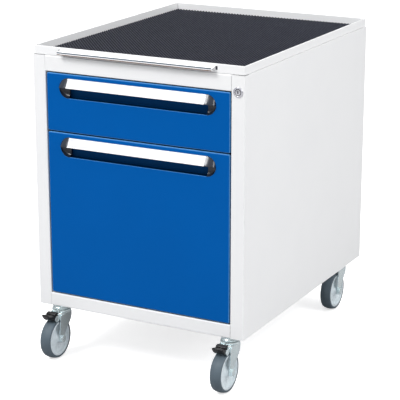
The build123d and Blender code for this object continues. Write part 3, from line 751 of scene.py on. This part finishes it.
def keyed_plug(front, rear):
    """Round plug with a rounded front edge and a keyway cut into its face."""
    segments = 64
    ring_sizes = [(6.55, rear), (6.55, front + 0.5), (6.3, front + 0.12), (5.9, front)]
    points, faces = [], []
    for radius, y in ring_sizes:
        for k in range(segments):
            angle = math.tau * k / segments
            points.append((radius * math.cos(angle), y, radius * math.sin(angle)))
    tiny = 1e-6
    for y in (front, front + KEYWAY_DEPTH):
        for k in range(segments):
            angle = math.tau * k / segments
            c, s = math.cos(angle), math.sin(angle)
            scale = min(KEYWAY_HALF_W / max(abs(c), tiny), KEYWAY_HALF_H / max(abs(s), tiny))
            points.append((c * scale, y, s * scale))
    rings = len(ring_sizes) + 2
    for ring in range(rings - 1):
        for k in range(segments):
            n = (k + 1) % segments
            a, b = ring * segments, (ring + 1) * segments
            faces.append([a + k, a + n, b + n, b + k])
    faces.append([(rings - 1) * segments + k for k in range(segments)])
    faces.append(list(range(segments)))
    return points, faces


# ---- castors ----

def swivel_of(tag):
    """The swivel axis and the axle of a castor, from its joints, in millimetres."""
    joints = {j["name"]: Vector(j["pos_m"]) / MM for j in frame["joints"] if "pos_m" in j}
    return joints[f"swivel_{tag}"], joints[f"wheel_{tag}_spin"]


def leg_edges(axle_z, top_z):
    """(z, front y, rear y) rows of a fork leg, from the eye round its axle up to the bridge."""
    rows = []
    arc_steps, curve_steps = 8, 6
    for k in range(arc_steps + 1):
        angle = math.pi / 2 * k / arc_steps
        half = EYE_R * math.sin(angle)
        rows.append((axle_z - EYE_R * math.cos(angle), -TRAIL - half, -TRAIL + half))
    front_bends = [(-38.8, 62.0), (-37.2, 74.0), (-35.6, 88.0), (-34.6, 98.0)]
    rear_bends = [(-16.0, 60.0), (-6.0, 72.0), (7.0, 83.0), (13.0, 92.0)]
    front = curve_through([(-TRAIL - EYE_R, axle_z), *front_bends, (LEG_TOP[0], top_z)], curve_steps)
    rear = curve_through([(-TRAIL + EYE_R, axle_z), *rear_bends, (LEG_TOP[1], top_z)], curve_steps)
    for f, r in zip(front[1:], rear[1:]):
        rows.append(((f.y + r.y) / 2, f.x, r.x))
    return rows


def fork_shape(axle_z, top_z):
    """Pressed fork: two legs and the bridge between them, as one bent sheet with a thickness.

    Its path holds an (x, z, front y, rear y) row for each step, up one leg and down the other."""
    rows = leg_edges(axle_z, top_z - LEG_BEND - LEG_STOP)
    path = [(LEG_MID, z, front, rear) for z, front, rear in rows]
    mid_top = top_z - LEG_T / 2
    flat_half = LEG_MID - LEG_BEND
    arc_steps, flat_steps = 7, 4
    for k in range(1, arc_steps + 1):
        share = k / arc_steps
        angle = math.pi / 2 * k / arc_steps
        x = flat_half + LEG_BEND * math.cos(angle)
        z = mid_top - LEG_BEND + LEG_BEND * math.sin(angle)
        front, rear = (leg + (bridge - leg) * share for leg, bridge in zip(LEG_TOP, BRIDGE))
        path.append((x, z, front, rear))
    for k in range(1, flat_steps + 1):
        path.append((flat_half * (1 - k / flat_steps), mid_top, *BRIDGE))
    path += [(-x, z, front, rear) for x, z, front, rear in path[-2::-1]]
    columns = 10
    middle = [Vector((x, 0, z)) for x, z, _, _ in path]
    points, faces = [], []
    for side in (0.5, -0.5):
        for i, (x, z, front, rear) in enumerate(path):
            tangent = middle[min(i + 1, len(path) - 1)] - middle[max(i - 1, 0)]
            normal = Vector((tangent.z, 0, -tangent.x)).normalized() * LEG_T * side
            for j in range(columns + 1):
                points.append((x + normal.x, front + (rear - front) * j / columns, z + normal.z))
    width = columns + 1
    half = len(path) * width
    for i in range(len(path) - 1):
        for j in range(columns):
            a = i * width + j
            faces.append([a, a + 1, a + width + 1, a + width])
            faces.append([half + a, half + a + width, half + a + width + 1, half + a + 1])
        for j in (0, columns):
            a, b = i * width + j, (i + 1) * width + j
            faces.append([a, b, half + b, half + a])
    for i in (0, len(path) - 1):
        for j in range(columns):
            a = i * width + j
            faces.append([a, a + 1, half + a + 1, half + a])
    return points, faces


def crown_profile():
    """The fork's crown as (radius, height over its top): a ring with a raised bead and a rounded edge."""
    return [
        (6.1, -3.5), (6.1, -0.2), (17.0, -0.2), (18.2, -0.9), (20.6, -0.9), (21.6, 0.0), (22.6, -0.2),
        (23.0, -0.9), (23.0, -3.2), (22.2, -4.0), (20.0, -4.2),
    ]


def head_profile():
    """The fixed head as (radius, height over its top): a disc with a rolled edge over a race cup."""
    return [
        (6.05, 0.0), (20.8, 0.0), (21.6, -0.3), (22.0, -1.0), (22.0, -2.6), (21.5, -3.4), (20.4, -3.7),
        (19.4, -4.3), (19.3, -5.2), (20.2, -6.6), (20.8, -7.4), (20.7, -8.0), (19.9, -8.4), (19.9, -9.0),
        (21.0, -9.5), (21.4, -10.4), (21.3, -11.4), (20.6, -12.1), (19.2, -12.1), (18.6, -11.4),
        (18.6, -8.9), (6.05, -8.9),
    ]


def rim_profile():
    """Half of the rim's section as (radius, along), from the bore outwards."""
    return [
        (5.06, 15.5), (8.2, 15.5), (9.4, 15.1), (10.0, 14.2), (10.4, 11.5), (11.4, 9.4), (13.4, 7.8),
        (17.0, 6.4), (24.0, 5.6), (32.0, 5.5), (35.6, 6.0), (37.2, 7.4), (37.9, 10.0), (38.2, 12.6),
        (38.9, 13.4), (42.2, 13.4), (42.8, 12.9), (43.0, 11.8),
    ]


def tyre_profile():
    """Half of the tyre's section as (radius, along): a wall, a rounded shoulder and the crown."""
    wall, steps = 14.0, 8
    half = [(43.0, 13.7), (43.6, wall), (44.6, wall)]
    for k in range(steps + 1):
        angle = math.pi / 2 * k / steps
        half.append((TYRE_EDGE_R + TYRE_ROUND * math.sin(angle), wall - TYRE_ROUND * (1 - math.cos(angle))))
    return half + [(48.9, 8.4), (49.5, 5.2), (49.85, 2.4), (49.92, 0.9), (50.0, 0.35)]


def both_halves(half):
    """A section given for one side, closed by its mirror image."""
    return half + [(radius, -along) for radius, along in reversed(half)]


def rocker_shape():
    """Metal rocker: a shoe over the tread, a cheek each side of the pedal, and the pin it tilts on."""
    y, z = PIVOT
    shoe = [
        (y - 1, z + 4.3), (-46, z + 5), (-50, z + 1), (-46, z - 5), (-44, z - 8.4), (-40, z - 7.4),
        (-36, z - 6.8), (-33, z - 4.5), (y + 1, z - 4.3),
    ]
    parts = [prism_x(rounded(shoe, radius=0.8, steps=3), -SHOE_HALF, SHOE_HALF)]
    cheek = [
        (y + 3.5, z + 3.5), (y - 6, z + 5.5), (-46, z + 4.2), (-54, z - 0.6), (-52, z - 5.4),
        (-46, z - 11.2), (-40.5, z - 10.2), (-34, z - 6.5), (y + 2.5, z - 4.5),
    ]
    for x0, x1 in ((CHEEK_IN, CHEEK_OUT), (-CHEEK_OUT, -CHEEK_IN)):
        parts.append(prism_x(rounded(cheek, radius=2.2, steps=4), x0, x1))
    pin = [(0.0, -PIN_HALF), (PIN_R, -PIN_HALF), (PIN_R, PIN_HALF), (0.0, PIN_HALF)]
    parts.append(lathe(pin, "X", (0, y, z), segments=32))
    return join(*parts)


def pedal_shape():
    """Moulded pedal: a heel block, and a V-shaped toe pad with grip ribs across it."""
    heel = [(-36, 109), (-36, 116.4), (-38, 118.4), (-47.6, 117.6), (-49.6, 115.4), (-49.6, 109)]
    toe = [
        (-44, 108), (-50.5, 112.6), (-58, 113.8), (-65.6, 117.2), (-67, 115.2), (-57.6, 103), (-50, 100.9),
        (-45.6, 104.6),
    ]
    parts = [
        prism_x(rounded(heel, radius=1.4, steps=4), -HEEL_HALF, HEEL_HALF),
        prism_x(rounded(toe, radius=1.6, steps=4), -TOE_HALF, TOE_HALF),
    ]
    for k in range(PAD_RIBS):
        y, z = PAD_START[0] + PAD_PITCH * k, PAD_START[1] - PAD_FALL * k
        rib = [(y, z), (y + 0.3, z + 1.1), (y + 1.3, z + 0.9), (y + 1.6, z - 0.5)]
        parts.append(prism_x(rib, -PAD_HALF, PAD_HALF))
    return join(*parts)


def make_castor(tag):
    """A castor's head, fork, rim and tyre, and the brake of a front one."""
    swivel, axle = swivel_of(tag)
    base = (swivel.x, swivel.y, 0)
    head_top = mm_box("castor_heads")[1].z - HEAD_SINK
    fork_top = mm_box(f"fork_{tag}")[1].z
    head = moved(lathe(head_profile(), "Z", (0, 0, head_top), segments=72), base)
    piece(f"castor_head_{tag}", head, "root", "castor_zinc", ["castor_heads"], sharp=40)
    crown = lathe(crown_profile(), "Z", (0, 0, fork_top), segments=72)
    fork = moved(join(fork_shape(axle.z, fork_top - CROWN_RISE), crown), base)
    piece(f"fork_shell_{tag}", fork, f"fork_{tag}", "castor_zinc", [f"fork_{tag}"], sharp=38)
    rim = lathe(both_halves(rim_profile()), "X", axle, segments=96)
    piece(f"wheel_rim_{tag}", rim, f"wheel_{tag}", "rim_plastic", [f"rim_{tag}"], sharp=48)
    tyre = lathe(both_halves(tyre_profile()), "X", axle, segments=128)
    piece(f"wheel_tyre_{tag}", tyre, f"wheel_{tag}", "tyre_grey", [f"tyre_{tag}"], sharp=40)
    if tag.startswith("front"):
        brake = f"brake_{tag}"
        rocker = moved(rocker_shape(), base)
        piece(f"brake_metal_{tag}", rocker, brake, "castor_zinc", [f"brake_rocker_{tag}"], bevel=0.25)
        pedal = moved(pedal_shape(), base)
        piece(f"brake_pad_{tag}", pedal, brake, "black_plastic", [f"brake_pedal_{tag}"], bevel=0.5)


# ---- stage ----

def make_stage():
    """A wide floor: white to the camera, and greyer to the object, which it lights less from below."""
    floor_mesh = bpy.data.meshes.new("floor")
    corners = [(x * FLOOR_HALF, y * FLOOR_HALF, 0) for x, y in ((-1, -1), (1, -1), (1, 1), (-1, 1))]
    floor_mesh.from_pydata(corners, [], [(0, 1, 2, 3)])
    floor = bpy.data.objects.new("floor", floor_mesh)
    bpy.context.scene.collection.objects.link(floor)
    n = Nodes("floor", Roughness=0.9, Specular_IOR_Level=0.0, Emission_Color=(1.0, 1.0, 1.0, 1.0))
    seen = n.tree.nodes.new("ShaderNodeLightPath").outputs["Is Camera Ray"]
    n.colour(n.mix(seen, FLOOR_BOUNCE, FLOOR_TONE))
    n.link(n.math("MULTIPLY", seen, FLOOR_GLOW), n.shader.inputs["Emission Strength"])
    floor_mesh.materials.append(n.material)


def area_light(name, place, size, power):
    """A rectangular light, aimed at LIGHT_AIM."""
    data = bpy.data.lights.new(name, "AREA")
    data.shape = "RECTANGLE"
    data.size, data.size_y = size
    data.energy = power
    light = bpy.data.objects.new(name, data)
    light.location = place
    light.rotation_mode = "QUATERNION"
    light.rotation_quaternion = (LIGHT_AIM - Vector(place)).to_track_quat("-Z", "Y")
    bpy.context.scene.collection.objects.link(light)


def make_world():
    """White to the camera; to the object a dome that is bright above and dim near the floor."""
    world = bpy.data.worlds.new("studio")
    world.use_nodes = True
    tree = world.node_tree
    sky = tree.nodes["Background"]
    place = tree.nodes.new("ShaderNodeTexCoord")
    split = tree.nodes.new("ShaderNodeSeparateXYZ")
    height = tree.nodes.new("ShaderNodeMapRange")
    dome = {"From Min": DOME_FROM, "From Max": DOME_TO, "To Min": DOME_LOW, "To Max": DOME_HIGH}
    for socket, value in dome.items():
        height.inputs[socket].default_value = value
    path = tree.nodes.new("ShaderNodeLightPath")
    seen = tree.nodes.new("ShaderNodeMix")
    seen.inputs["B"].default_value = 1.0
    tree.links.new(place.outputs["Generated"], split.inputs[0])
    tree.links.new(split.outputs["Z"], height.inputs["Value"])
    tree.links.new(path.outputs["Is Camera Ray"], seen.inputs["Factor"])
    tree.links.new(height.outputs["Result"], seen.inputs["A"])
    tree.links.new(seen.outputs["Result"], sky.inputs["Strength"])
    sky.inputs["Color"].default_value = (1.0, 1.0, 1.0, 1.0)
    bpy.context.scene.world = world


def make_light():
    """The dome, the area lights, and a plain view transform."""
    make_world()
    for name, light in LIGHTS.items():
        area_light(name, **light)
    bpy.context.scene.view_settings.view_transform = "Standard"


def make_camera():
    """A long lens on the front and right side, aimed a little beside and under the middle of the box."""
    low, high = cad_box
    azimuth, elevation = math.radians(VIEW_AZIMUTH), math.radians(VIEW_ELEVATION)
    level = math.cos(elevation)
    back = Vector((math.sin(azimuth) * level, -math.cos(azimuth) * level, math.sin(elevation)))
    turn = (-back).to_track_quat("-Z", "Y")
    target = (low + high) / 2 + turn @ Vector((VIEW_ASIDE, VIEW_UP, 0))
    data = bpy.data.cameras.new("camera")
    data.lens = LENS
    data.sensor_width = SENSOR
    camera = bpy.data.objects.new("camera", data)
    camera.location = target + back * VIEW_DISTANCE
    camera.rotation_mode = "QUATERNION"
    camera.rotation_quaternion = turn
    bpy.context.scene.collection.objects.link(camera)
    bpy.context.scene.camera = camera


make_camera()
make_light()
make_stage()
finish_cad_nodes()
make_handles()
make_mat()
make_lip_edge()
make_lock()
for castor in CASTORS:
    make_castor(castor)
